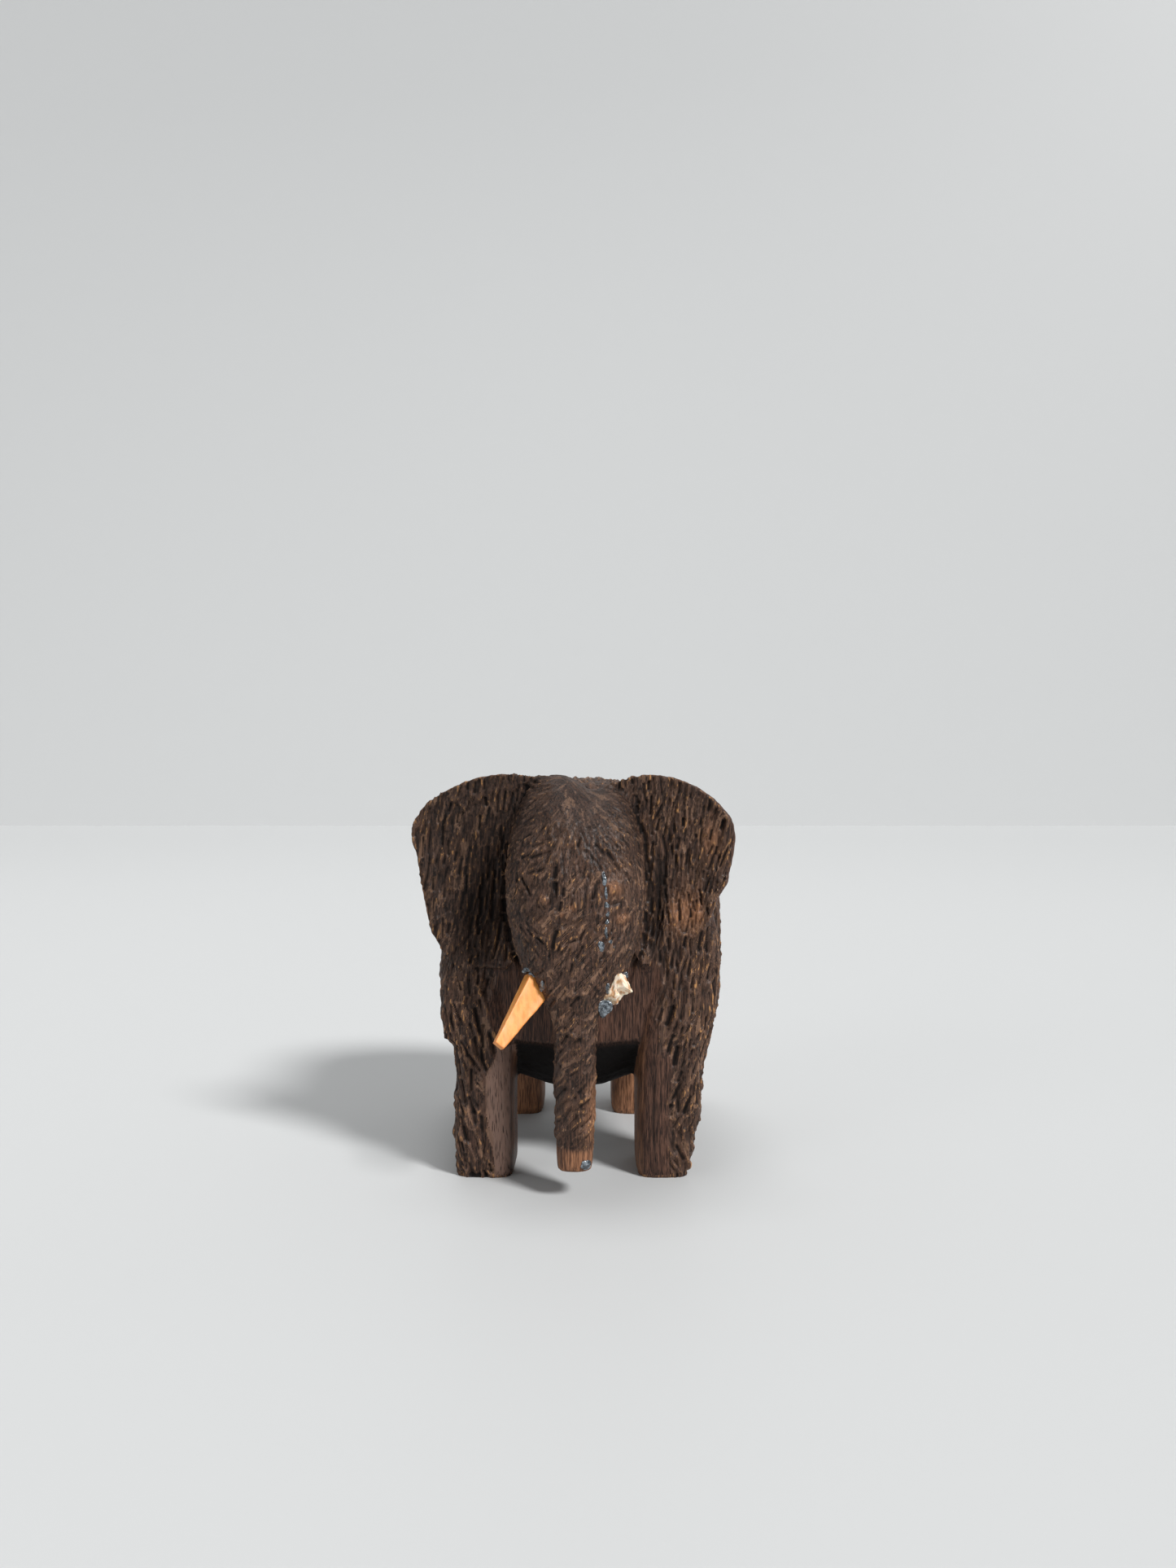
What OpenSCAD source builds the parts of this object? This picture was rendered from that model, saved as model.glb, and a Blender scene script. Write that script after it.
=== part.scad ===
// Carved wooden elephant, standing, with its head lowered and its trunk hanging free.
// One block of dark hardwood holds the body, head, trunk, ears, legs and tail.
// Two pale wooden tusks are pegged and glued into sockets in the cheeks. The left one has
// broken off close to its socket, and dried glue is left around the joints.
// Millimetres. +Z is up, the elephant faces -Y, and its right side is at -X.
// The origin is on the floor, under the middle of the whole piece.

/* [Body] */
// Height from the floor to the top of the back
back_h = 73.5; // [62:0.5:88]
// Side to side size of the barrel at its widest
body_w = 55; // [46:0.5:66]
// Length from the flat of the chest to the rump
body_len = 60; // [52:0.5:72]
// Free height under the lowest point of the belly
belly_clear = 13; // [10:0.5:17]
// How far the flat of the chest stands behind the front legs
chest_back = 2; // [1:0.25:3]

/* [Legs] */
// Side to side size of a front leg
front_leg_w = 11.2; // [9:0.1:13]
// Front to back size of a front leg
front_leg_d = 15; // [12:0.5:18]
// Gap between the front legs
front_leg_gap = 22.4; // [18:0.5:26]
// Side to side size of a rear leg
rear_leg_w = 15; // [12:0.5:17]
// Front to back size of a rear leg
rear_leg_d = 16; // [13:0.5:19]
// Gap between the rear legs
rear_leg_gap = 14.8; // [12:0.2:18]
// Distance from the front of the front legs to the front of the rear legs
leg_pitch = 41.6; // [36:0.2:48]
// Bevel around each sole
sole_bevel = 1; // [0.5:0.1:1.5]

/* [Head and trunk] */
// Side to side size of the face
head_w = 24.8; // [20:0.2:29]
// How far the face stands in front of the front legs
head_reach = 13.6; // [11:0.2:16]
// Side to side size of the trunk below the face
trunk_w = 8.2; // [6.8:0.1:9.6]
// Side to side size of the trunk at its tip
trunk_tip_w = 6.2; // [5:0.1:7.5]
// Free height under the trunk's tip
trunk_clear = 5; // [3:0.5:7]
// Radius of the ball that each eye is cut from
eye_r = 1.6; // [1.3:0.1:2]
// How far an eye stands out of the face
eye_proud = 0.4; // [0.3:0.05:0.6]

/* [Ears] */
// Width over both ears
ear_span = 60; // [50:0.5:72]
// Height of the ears from their lower tip to their top edge
ear_h = 36; // [30:0.5:43]
// Height of the ears' top edge above the top of the back
ear_rise = 0.3; // [0:0.1:1.5]
// Thickness of an ear at its edge
ear_edge_t = 1.6; // [1.2:0.1:2.4]
// Depth of the hollow in the front of an ear
ear_scoop = 2.4; // [1:0.1:3]
// How far an ear sweeps back from the face to its outer edge
ear_sweep = 2.6; // [1:0.2:4]

/* [Tusks] */
// Length of the whole tusk outside the cheek
tusk_len = 12.6; // [9:0.2:15]
// Width of a tusk at its root
tusk_w = 4.8; // [3.8:0.1:5.8]
// Thickness of a tusk at its root
tusk_t = 3; // [2.4:0.1:3.6]
// Width of the tusk's tip
tusk_tip_w = 1.9; // [1.2:0.1:2.6]
// Thickness of the tusk's tip
tusk_tip_t = 1.2; // [0.8:0.1:1.8]
// Angle of a tusk below the horizontal
tusk_dip = 41; // [30:1:52]
// Angle of a tusk out from straight ahead
tusk_splay = 38; // [28:1:48]
// Turn of the flat of a tusk about its own axis
tusk_roll = 30; // [15:1:45]
// Length of the stub left of the broken tusk, outside the cheek
stub_len = 1.9; // [1.2:0.1:3]
// Depth to which the root of a tusk is let into the cheek
root_sink = 1.6; // [1:0.1:2.4]
// Diameter of the round peg behind the root
peg_d = 2.6; // [2:0.1:3.2]
// Length of the round peg
peg_len = 5; // [3.5:0.5:6.5]
// Gap between a tusk and its socket, filled by glue on the real piece
socket_gap = 0.05; // [0.02:0.01:0.1]
// Free depth behind the peg's end
socket_end = 0.4; // [0.2:0.1:0.8]

/* [Dried glue] */
// Width of the glue around a tusk's root
glue_w = 0.5; // [0.4:0.05:0.7]
// How far the glue creeps along a tusk, out of its socket
glue_rise = 0.8; // [0.6:0.05:1]
// Radius of the ball that the drop on the trunk's tip is cut from
drop_r = 1.3; // [1:0.1:1.6]
// How far that drop stands out of the wood
drop_proud = 0.3; // [0.2:0.05:0.4]
// Radius of the rounded run of glue on the face
run_r = 0.7; // [0.6:0.05:0.9]
// How far the run stands out of the wood
run_proud = 0.3; // [0.25:0.05:0.35]

/* [Hidden] */

RIGHT = -1; // the elephant's right side lies at -X
LEFT = 1;

wood = [0.24, 0.18, 0.15];
pale_wood = [0.88, 0.66, 0.42];
broken_wood = [0.93, 0.85, 0.72];
clear_glue = [0.72, 0.75, 0.78];

ring_n = 28;       // points around a section of the barrel and of the head
leg_ring_n = 20;   // points around a section of a leg
tail_ring_n = 12;  // points around a section of the tail
ear_ring_n = 36;   // points around an ear
ear_steps = 6;     // rings from the middle of an ear to its edge

// ---- Curves and lofts ----

// A smooth curve through the rows of a table, at t from 0 to 1 between row i and row i + 1.
function row_at(rows, i) = rows[max(0, min(len(rows) - 1, i))];
function smooth_step(rows, i, t) =
    let (a = row_at(rows, i - 1), b = row_at(rows, i), c = row_at(rows, i + 1), d = row_at(rows, i + 2))
    0.5 * (2 * b + (c - a) * t + (2 * a - 5 * b + 4 * c - d) * t * t + (3 * b - a - 3 * c + d) * t * t * t);

// The same rows with steps - 1 smooth rows between each pair.
function refined(rows, steps) =
    [for (i = [0:len(rows) - 2]) for (k = [0:steps - 1]) smooth_step(rows, i, k / steps), rows[len(rows) - 1]];

// A closed curve through points, with steps parts between each pair.
function closed_curve(points, steps) =
    let (n = len(points))
    [for (i = [0:n - 1]) for (k = [0:steps - 1])
        let (t = k / steps, a = points[(i + n - 1) % n], b = points[i], c = points[(i + 1) % n],
            d = points[(i + 2) % n])
        0.5 * (2 * b + (c - a) * t + (2 * a - 5 * b + 4 * c - d) * t * t
            + (3 * b - a - 3 * c + d) * t * t * t)];

// The value of column col where column 0 is x, read along straight lines between the rows.
function column_at(rows, x, col, i = 0) =
    i >= len(rows) - 2 || x <= rows[i + 1][0]
        ? let (a = rows[i], b = rows[i + 1], t = (x - a[0]) / (b[0] - a[0])) a[col] + (b[col] - a[col]) * t
        : column_at(rows, x, col, i + 1);

// A rounded rectangle from low to high, as n points. A higher power makes squarer corners.
function power_of(v, p) = sign(v) * pow(abs(v), p);
function rounded(low, high, power, n) =
    let (mid = (low + high) / 2, half = (high - low) / 2)
    [for (i = [0:n - 1]) let (a = 360 * (i + 0.5) / n)
        [mid[0] + half[0] * power_of(cos(a), 2 / power), mid[1] + half[1] * power_of(sin(a), 2 / power)]];

// A closed solid through rings of 3-D points, all with the same number of points.
module loft(rings) {
    n = len(rings[0]);
    last = (len(rings) - 1) * n;
    polyhedron(
        points = [for (ring = rings) for (p = ring) p],
        faces = [
            for (i = [1:n - 2]) [0, i, i + 1],
            for (r = [0:len(rings) - 2]) for (i = [0:n - 1])
                let (a = r * n + i, b = r * n + (i + 1) % n) each [[a, a + n, b], [b, a + n, b + n]],
            for (i = [1:n - 2]) [last, last + i + 1, last + i]
        ]);
}

// ---- The shape of the head ----

head_top = back_h - 0.9;
jaw_z = 33.5;
face_h = head_top - jaw_z;

// Height, front and back as distances behind the front of the front legs, half width, squareness.
head_rows = [
    [trunk_clear, -head_reach + 1.7, -head_reach + 7.2, trunk_tip_w / 2 - 0.4, 3],
    [trunk_clear + 0.7, -head_reach + 1.3, -head_reach + 7.6, trunk_tip_w / 2, 3],
    [trunk_clear + 7, -head_reach + 1.1, -head_reach + 7.9, trunk_tip_w / 2 + 0.25, 2.9],
    [trunk_clear + 15, -head_reach + 0.8, -head_reach + 8.4, trunk_w / 2 - 0.35, 2.8],
    [jaw_z - 6, -head_reach + 0.5, -head_reach + 9.2, trunk_w / 2, 2.7],
    [jaw_z - 1.2, -head_reach + 0.3, -head_reach + 10.6, trunk_w / 2 + 0.5, 2.6],
    [jaw_z + 0.07 * face_h, -head_reach + 0.15, -1.2, head_w * 0.29, 2.6],
    [jaw_z + 0.16 * face_h, -head_reach, 4.5, head_w * 0.385, 2.7],
    [jaw_z + 0.27 * face_h, -head_reach, 7, head_w * 0.45, 2.9],
    [jaw_z + 0.41 * face_h, -head_reach + 0.5, 8, head_w * 0.49, 3],
    [jaw_z + 0.58 * face_h, -head_reach + 1.5, 9, head_w * 0.5, 3],
    [jaw_z + 0.74 * face_h, -head_reach + 3.4, 10, head_w * 0.475, 2.8],
    [jaw_z + 0.87 * face_h, -head_reach + 6.4, 11.5, head_w * 0.42, 2.6],
    [jaw_z + 0.96 * face_h, -head_reach + 9.8, 13, head_w * 0.34, 2.4],
    [head_top, -head_reach + 13.4, 12, head_w * 0.2, 2.2],
];
head_fine = refined(head_rows, 2);

// How far the face lies behind the front of the front legs, at height z and x from the middle.
function face_depth(x, z) =
    let (front = column_at(head_fine, z, 1), back = column_at(head_fine, z, 2),
        half = column_at(head_fine, z, 3), power = column_at(head_fine, z, 4),
        share = min(0.97, abs(x) / half))
    (front + back) / 2 - (back - front) / 2 * pow(1 - pow(share, power), 1 / power);

// ---- Where the pieces lie along Y ----

// The whole piece runs from the tip of the right tusk to the back of the tail.
tusk_x = head_w * 0.28;
tusk_z = jaw_z + 0.07 * face_h;
tail_proud = 1.2;
tusk_reach = (tusk_len * cos(tusk_dip) + tusk_tip_t / 2 * sin(tusk_dip)) * cos(tusk_splay)
    - face_depth(tusk_x, tusk_z);
leg_front = (tusk_reach - chest_back - body_len - tail_proud) / 2;

// ---- Barrel ----

// Share of the length, of the half width, of the height from belly to back at the bottom and at
// the top, and the squareness of the section.
barrel_rows = [
    [0.00, 0.60, 0.19, 0.46, 3.4],
    [0.03, 0.78, 0.13, 0.62, 3.2],
    [0.10, 0.91, 0.05, 0.84, 2.9],
    [0.21, 0.98, 0.00, 0.96, 2.6],
    [0.37, 1.00, 0.02, 0.995, 2.5],
    [0.52, 1.00, 0.07, 1.00, 2.5],
    [0.68, 0.985, 0.14, 0.98, 2.5],
    [0.82, 0.92, 0.20, 0.92, 2.5],
    [0.93, 0.77, 0.28, 0.80, 2.4],
    [0.98, 0.56, 0.36, 0.69, 2.3],
    [1.00, 0.32, 0.44, 0.60, 2.2],
];
barrel_fine = refined(barrel_rows, 2);

chest_y = leg_front + chest_back;
function barrel_y(share) = chest_y + share * body_len;
function barrel_z(share) = belly_clear + share * (back_h - belly_clear);

module barrel() {
    loft([for (row = barrel_fine)
        [for (p = rounded([-row[1] * body_w / 2, barrel_z(row[2])], [row[1] * body_w / 2, barrel_z(row[3])],
            row[4], ring_n)) [-p[0], barrel_y(row[0]), p[1]]]]);
}

// ---- Legs ----

// Height, inner and outer side as distances from the middle, front and back as distances behind
// the front of the leg, and the squareness of the section. A leg's top runs up inside the barrel.
front_in = front_leg_gap / 2;
front_out = front_in + front_leg_w;
shoulder_out = body_w / 2 - 1.8;
front_leg_rows = [
    [0, front_in + sole_bevel / 2, front_out - sole_bevel, sole_bevel / 2, front_leg_d - sole_bevel, 5],
    [sole_bevel * 1.3, front_in, front_out - 0.2, 0, front_leg_d - 0.3, 5],
    [belly_clear * 0.7, front_in, front_out, 0, front_leg_d, 5],
    [belly_clear * 1.4, front_in, front_out + 0.5, 0.1, front_leg_d + 0.6, 4.5],
    [belly_clear * 2.1, front_in + 0.2, front_out + 1.8, 0.5, front_leg_d + 2, 3.6],
    [belly_clear * 2.7, front_in + 1, shoulder_out, 1.4, front_leg_d + 2, 3],
    [belly_clear * 3.3, front_in + 2.6, shoulder_out - 1, 3.4, front_leg_d + 1, 2.6],
    [belly_clear * 3.9, front_in + 4.6, shoulder_out - 4, 7.5, front_leg_d - 1, 2.3],
];
rear_in = rear_leg_gap / 2;
rear_out = rear_in + rear_leg_w;
haunch_out = body_w / 2 - 2.4;
rear_leg_rows = [
    [0, rear_in + sole_bevel / 2, rear_out - sole_bevel, sole_bevel / 2, rear_leg_d - sole_bevel, 5],
    [sole_bevel * 1.3, rear_in, rear_out - 0.2, 0, rear_leg_d - 0.3, 5],
    [belly_clear * 0.7, rear_in, rear_out, 0, rear_leg_d, 5],
    [belly_clear * 1.5, rear_in + 0.2, rear_out + 0.9, -0.4, rear_leg_d + 0.9, 4.2],
    [belly_clear * 2.2, rear_in + 1.2, haunch_out, -1.6, rear_leg_d + 1, 3.2],
    [belly_clear * 2.9, rear_in + 3, haunch_out - 1.2, -2, rear_leg_d - 1.5, 2.6],
    [belly_clear * 3.6, rear_in + 5, haunch_out - 5, 0, rear_leg_d - 6, 2.2],
];

module leg(rows, side, front_y) {
    loft([for (row = refined(rows, 2))
        let (xs = side < 0 ? [-row[2], -row[1]] : [row[1], row[2]])
        [for (p = rounded([xs[0], front_y + row[3]], [xs[1], front_y + row[4]], row[5], leg_ring_n))
            [p[0], p[1], row[0]]]]);
}

// ---- Head and trunk ----

// The direction that the face looks at that place, found from points close by.
function face_out(x, z) =
    let (step = 0.6, dx = (face_depth(x + step, z) - face_depth(x - step, z)) / (2 * step),
        dz = (face_depth(x, z + step) - face_depth(x, z - step)) / (2 * step), v = [dx, -1, dz])
    v / norm(v);

function on_face(x, z, out = 0) = [x, leg_front + face_depth(x, z), z] + out * face_out(x, z);

module head() {
    loft([for (row = head_fine)
        [for (p = rounded([-row[3], leg_front + row[1]], [row[3], leg_front + row[2]], row[4], ring_n))
            [p[0], p[1], row[0]]]]);
}

eye_x = head_w * 0.25;
eye_z = jaw_z + 0.49 * face_h;

module eye(side) {
    translate(on_face(side * eye_x, eye_z, eye_proud - eye_r)) sphere(eye_r, $fn = 48);
}

// ---- Ears ----

ear_top = back_h + ear_rise;
ear_out = ear_span / 2;
ear_mid = [ear_out * 0.45, ear_top - ear_h * 0.47];
// Outline of one ear: share of the half span, and share of the ear's height down from its top edge.
ear_shares = [
    [0.10, 0.10], [0.24, 0.03], [0.45, 0.00], [0.68, 0.035], [0.89, 0.14], [0.995, 0.27],
    [0.98, 0.45], [0.85, 0.83], [0.735, 0.975], [0.56, 0.985], [0.37, 0.95], [0.20, 0.50],
];
ear_outline = closed_curve([for (s = ear_shares) [s[0] * ear_out, ear_top - s[1] * ear_h]],
    ear_ring_n / len(ear_shares));
ear_back_bulge = 5;
ear_core = 0.12; // an ear's rings start at this share of its size

// Depth of the front or the back of an ear, at share r of the way from its middle to its edge.
function ear_y(x, r, back) =
    leg_front + ear_sweep * (x - ear_out * 0.3) / (ear_out * 0.7)
    + (back ? ear_edge_t + ear_back_bulge * (1 - r * r) : ear_scoop * (1 - r * r));
function ear_ring(side, r, back) =
    [for (p = ear_outline) let (q = ear_mid + r * (p - ear_mid))
        [side * q[0], ear_y(q[0], r, back), q[1]]];

module ear(side) {
    front = [for (k = [0:ear_steps]) ear_ring(side, ear_core + (1 - ear_core) * k / ear_steps, false)];
    rear = [for (k = [ear_steps:-1:0]) ear_ring(side, ear_core + (1 - ear_core) * k / ear_steps, true)];
    rings = concat(front, rear);
    loft(side > 0 ? rings : [for (ring = rings) [for (i = [len(ring) - 1:-1:0]) ring[i]]]);
}

// ---- Tail ----

// The tail lies on the rump: it follows the barrel's top line down to the rump and its lower line in.
tail_path = concat(
    [for (s = [0.86, 0.93, 0.98, 1.0]) [s, column_at(barrel_fine, s, 3)]],
    [for (s = [1.0, 0.98, 0.94]) [s, column_at(barrel_fine, s, 2)]]);
tail_r = [1.2, 1.6, 1.7, 1.6, 1.5, 2.0, 1.2];
tail_fine = refined([for (i = [0:len(tail_path) - 1])
    [barrel_y(tail_path[i][0]), barrel_z(tail_path[i][1]), tail_r[i]]], 2);

module tail() {
    last = len(tail_fine) - 1;
    loft([for (i = [0:last])
        let (a = tail_fine[max(0, i - 1)], b = tail_fine[min(last, i + 1)], here = tail_fine[i],
            along = [b[0] - a[0], b[1] - a[1]] / norm([b[0] - a[0], b[1] - a[1]]),
            out = [-along[1], along[0]], r = here[2], sink = tail_proud - r)
        [for (k = [0:tail_ring_n - 1])
            let (t = 360 * k / tail_ring_n, off = sink + r * cos(t))
            [r * sin(t), here[0] + out[0] * off, here[1] + out[1] * off]]]);
}

// ---- Tusks, their sockets and the glue ----

// Moves to a tusk's root on the cheek, with +Z out along the tusk.
module at_tusk(side) {
    translate(on_face(side * tusk_x, tusk_z))
        rotate([0, 0, -90 + side * tusk_splay]) rotate([0, 90 + tusk_dip, 0]) rotate([0, 0, -side * tusk_roll])
            children();
}

// The flat tapered blade of a tusk between two distances from its root, grown by a gap on each side.
function blade_size(z, whole) =
    [tusk_w + (tusk_tip_w - tusk_w) * z / whole, tusk_t + (tusk_tip_t - tusk_t) * z / whole] / 2;
module blade(low, high, gap = 0) {
    loft([for (z = [low, high]) let (half = blade_size(z, tusk_len) + [gap, gap])
        [[-half[0], -half[1], z], [half[0], -half[1], z], [half[0], half[1], z], [-half[0], half[1], z]]]);
}
peg_overlap = 0.2; // the peg runs this far into the blade
socket_reach = root_sink + 3; // the socket's cutter runs this far out of the cheek
module peg(gap = 0, extra = 0) {
    translate([0, 0, -root_sink - peg_len - extra])
        cylinder(r = peg_d / 2 + gap, h = peg_len + extra + peg_overlap, $fn = 48);
}
module socket(side) {
    at_tusk(side) {
        blade(-root_sink - socket_gap, socket_reach, socket_gap);
        peg(socket_gap, socket_end);
    }
}

module carved_body() {
    color(wood) difference() {
        union() {
            barrel();
            for (side = [RIGHT, LEFT]) {
                leg(front_leg_rows, side, leg_front);
                leg(rear_leg_rows, side, leg_front + leg_pitch);
                ear(side);
                eye(side);
            }
            head();
            tail();
        }
        for (side = [RIGHT, LEFT]) socket(side);
    }
}

module right_tusk() {
    color(pale_wood) at_tusk(RIGHT) {
        blade(-root_sink, tusk_len);
        peg();
    }
}

// The break runs across the grain in three slanting steps: the place of each across the blade, its
// slope in degrees and its depth.
break_steps = [[-1.3, 24, 0.45], [0.2, -16, 0.2], [1.5, 32, 0.5]];
break_w = 1.8;
module left_tusk_stub() {
    color(broken_wood) at_tusk(LEFT) difference() {
        union() {
            blade(-root_sink, stub_len);
            peg();
        }
        for (cut = break_steps)
            translate([cut[0], 0, stub_len - cut[2]]) rotate([cut[1] / 2, cut[1], 0])
                translate([-break_w / 2, -tusk_w, 0]) cube([break_w, 2 * tusk_w, stub_len]);
    }
}

// A bead of glue around a tusk's root, thinnest where it ends on the tusk.
bead_foot = 0.2; // it keeps its full width this far along the tusk
module tusk_glue(side) {
    difference() {
        at_tusk(side) loft([for (step = [[-root_sink / 2, glue_w], [bead_foot, glue_w], [glue_rise, glue_w / 3]])
            let (half = blade_size(step[0], tusk_len) + [step[1], step[1]])
            [for (p = rounded(-half, half, 4, leg_ring_n)) [p[0], p[1], step[0]]]]);
        head();
        socket(side);
    }
}
module right_tusk_glue() {
    color(clear_glue) tusk_glue(RIGHT);
}
module left_tusk_glue() {
    color(clear_glue) tusk_glue(LEFT);
}

// A bead with rounded ends from one point down to another, all in flat facets.
bead_n = 32;
bead_rows = 12;
module bead(from, to, r) {
    way = to - from;
    long = norm(way);
    ends = [for (i = [1:2 * bead_rows - 1]) let (a = 90 * (i / bead_rows - 1))
        [r * sin(a) + (a < 0 ? 0 : long), r * cos(a)]];
    translate(from) rotate([0, acos(way[2] / long), atan2(way[1], way[0])])
        loft([for (row = ends)
            [for (i = [0:bead_n - 1]) let (a = 360 * i / bead_n) [row[1] * cos(a), row[1] * sin(a), row[0]]]]);
}

// A run of glue down the left half of the face, from brow to cheek.
run_x = head_w * 0.2;
run_top = jaw_z + 0.56 * face_h;
run_low = jaw_z + 0.31 * face_h;
module face_glue_run() {
    top = on_face(run_x, run_top, run_proud - run_r);
    low = on_face(run_x, run_low, run_proud - run_r);
    color(clear_glue) difference() {
        bead(top, low, run_r);
        head();
        eye(LEFT);
    }
}

// A drop of glue on the left side of the trunk's tip.
drop_x = trunk_tip_w * 0.34;
drop_z = trunk_clear + drop_r;
drop_sag = drop_r * 0.1;
module trunk_tip_glue() {
    color(clear_glue) difference() {
        bead(on_face(drop_x, drop_z + drop_sag, drop_proud - drop_r), on_face(drop_x, drop_z, drop_proud - drop_r),
            drop_r);
        head();
    }
}

carved_body();
right_tusk();
left_tusk_stub();
right_tusk_glue();
left_tusk_glue();
face_glue_run();
trunk_tip_glue();
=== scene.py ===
"""Looks of the carved wooden elephant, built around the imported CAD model.

Everything is in metres in the frame's own axes: +Z is up, the elephant faces -Y and its right side
is at -X. The sculpting is worked out in millimetres and scaled at the end.
"""
import math

import bmesh
import bpy
import numpy as np
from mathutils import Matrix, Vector
from mathutils.kdtree import KDTree


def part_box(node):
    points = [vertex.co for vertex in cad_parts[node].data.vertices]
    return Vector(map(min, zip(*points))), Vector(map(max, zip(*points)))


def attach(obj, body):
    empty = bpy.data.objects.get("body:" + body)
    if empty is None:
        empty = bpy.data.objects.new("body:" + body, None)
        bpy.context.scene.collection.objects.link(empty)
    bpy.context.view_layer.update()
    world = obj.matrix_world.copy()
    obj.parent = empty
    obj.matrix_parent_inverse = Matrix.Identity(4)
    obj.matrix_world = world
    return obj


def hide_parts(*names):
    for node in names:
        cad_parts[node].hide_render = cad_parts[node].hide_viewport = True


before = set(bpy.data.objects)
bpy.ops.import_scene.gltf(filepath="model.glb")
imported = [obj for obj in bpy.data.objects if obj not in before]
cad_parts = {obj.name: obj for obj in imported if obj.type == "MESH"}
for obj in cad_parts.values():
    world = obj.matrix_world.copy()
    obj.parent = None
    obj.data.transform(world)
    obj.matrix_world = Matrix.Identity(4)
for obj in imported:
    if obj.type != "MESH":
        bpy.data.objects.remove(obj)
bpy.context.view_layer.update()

MM = 0.001
SEED = 7
BASE_VOXEL = 0.4  # mm, quads of the base; one subdivision halves them
FLOW_PASSES = 60  # smoothing of the barrel, shoulders and haunches
WIDE_PASSES = 22  # smoothing that leaves out all but the wide hollows
CUT_COUNT = 18500
SOLE = 0.35  # mm, all that is lower stands flat on the floor
HEAD_REACH = 13.6  # mm from the face's front to the front of the front legs
CAMERA_BACK = 215.0  # mm from the lens to the front of the front legs
CAMERA_RIGHT = 2.3
CAMERA_HEIGHT = 72.0
LENS = 27.05

body_low = np.array(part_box("carved_body")[0]) / MM
LEG_FRONT = body_low[1] + HEAD_REACH
TRUNK_LOW = 5.0  # mm, the height of the trunk's tip
EYE_X, EYE_Z = 6.2, 52.7  # mm, the eyes of the CAD head
TAIL_X = 0.8  # mm, the tail's middle after the barrel has been pushed to the left
# The carving's own eyes, which aren't level, and two smaller bosses below them: x, z and size, mm.
BOSSES = ((-5.45, 52.0, 1.0), (6.56, 54.0, 1.0), (-0.8, 49.3, 0.7), (8.4, 48.7, 0.8))


# ---- Small helpers ----


def smoothstep(low, high, value):
    t = np.clip((value - low) / (high - low), 0, 1)
    return t * t * (3 - 2 * t)


def hill(value, centre, half_width):
    """1 at the centre, falling smoothly to 0 at half_width on either side."""
    return 1 - smoothstep(0, half_width, np.abs(value - centre))


def lattice(cell, seed):
    """A repeatable number from 0 to 1 for each whole-number cell, by a 32-bit integer hash."""
    mask = 0xFFFFFFFF
    h = np.full(len(cell), (seed * 2654435761 + 12345) & mask, np.uint64)
    for column, factor in enumerate((374761393, 668265263, 2246822519)):
        h ^= cell[:, column].astype(np.uint64) * np.uint64(factor)
        h &= np.uint64(mask)
        h = (h * np.uint64(1274126177)) & np.uint64(mask)
        h ^= h >> np.uint64(15)
    return h.astype(np.float64) / mask


def spot(co, x, z, half_width, half_height):
    """A soft patch as seen from the front: 1 at its middle, and about a third at its half sizes."""
    return np.exp(-(((co[:, 0] - x) / half_width) ** 2) - ((co[:, 2] - z) / half_height) ** 2)


def noise(points, size, seed):
    """Smooth noise from -1 to 1, with features about size mm across (one number or one per axis)."""
    p = points / np.asarray(size, float)
    cell = np.floor(p).astype(np.int64)
    f = p - cell
    f = f * f * (3 - 2 * f)
    total = np.zeros(len(p))
    for corner in range(8):
        step = np.array([corner & 1, corner >> 1 & 1, corner >> 2 & 1])
        weight = np.prod(np.where(step, f, 1 - f), axis=1)
        total += weight * lattice(cell + step, seed)
    return total * 2 - 1


def layered(points, size, seed, layers=3):
    size = np.asarray(size, float)
    total = sum(noise(points, size / 2**k, seed + k) / 2**k for k in range(layers))
    return total / (2 - 2 ** (1 - layers))


def read_mesh(mesh):
    """Vertex places and normals of a mesh, in mm."""
    co = np.empty(len(mesh.vertices) * 3, np.float32)
    mesh.vertices.foreach_get("co", co)
    normal = np.empty(len(mesh.vertices) * 3, np.float32)
    mesh.vertices.foreach_get("normal", normal)
    return co.reshape(-1, 3).astype(float) / MM, normal.reshape(-1, 3).astype(float)


def write_mesh(mesh, co):
    mesh.vertices.foreach_set("co", (co * MM).astype(np.float32).ravel())
    mesh.update()


def mesh_links(mesh):
    """Both ends of every edge, each way round, and how many edges each vertex has."""
    edges = np.empty(len(mesh.edges) * 2, np.int32)
    mesh.edges.foreach_get("vertices", edges)
    edges = edges.reshape(-1, 2)
    ends, others = edges.ravel("F"), edges[:, ::-1].ravel("F")
    return ends, others, np.bincount(ends, minlength=len(mesh.vertices))


def neighbour_mean(links, values):
    """Mean of values over each vertex's neighbours."""
    ends, others, count = links
    totals = [np.bincount(ends, column[others], len(count)) for column in values.T.copy()]
    return np.stack(totals, 1) / np.maximum(count, 1)[:, None]


def soften(links, co, weight, passes):
    """Smooths co by a weight for each vertex."""
    for _ in range(passes):
        co = co + (0.5 * weight)[:, None] * (neighbour_mean(links, co) - co)
    return co


def add_attribute(mesh, name, values):
    mesh.attributes.new(name, "FLOAT", "POINT").data.foreach_set("value", values.astype(np.float32))


def read_attribute(mesh, name):
    values = np.empty(len(mesh.vertices), np.float32)
    mesh.attributes[name].data.foreach_get("value", values)
    return values.astype(float)


def new_object(name, mesh, material, slot, *nodes):
    """Links a finished piece, rides it on the one body and lets it stand for its CAD nodes."""
    piece = bpy.data.objects.new(name, mesh)
    bpy.context.scene.collection.objects.link(piece)
    mesh.materials.clear()
    mesh.materials.append(material)
    mesh.shade_smooth()
    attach(piece, "root")
    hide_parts(*nodes)
    return piece


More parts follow.
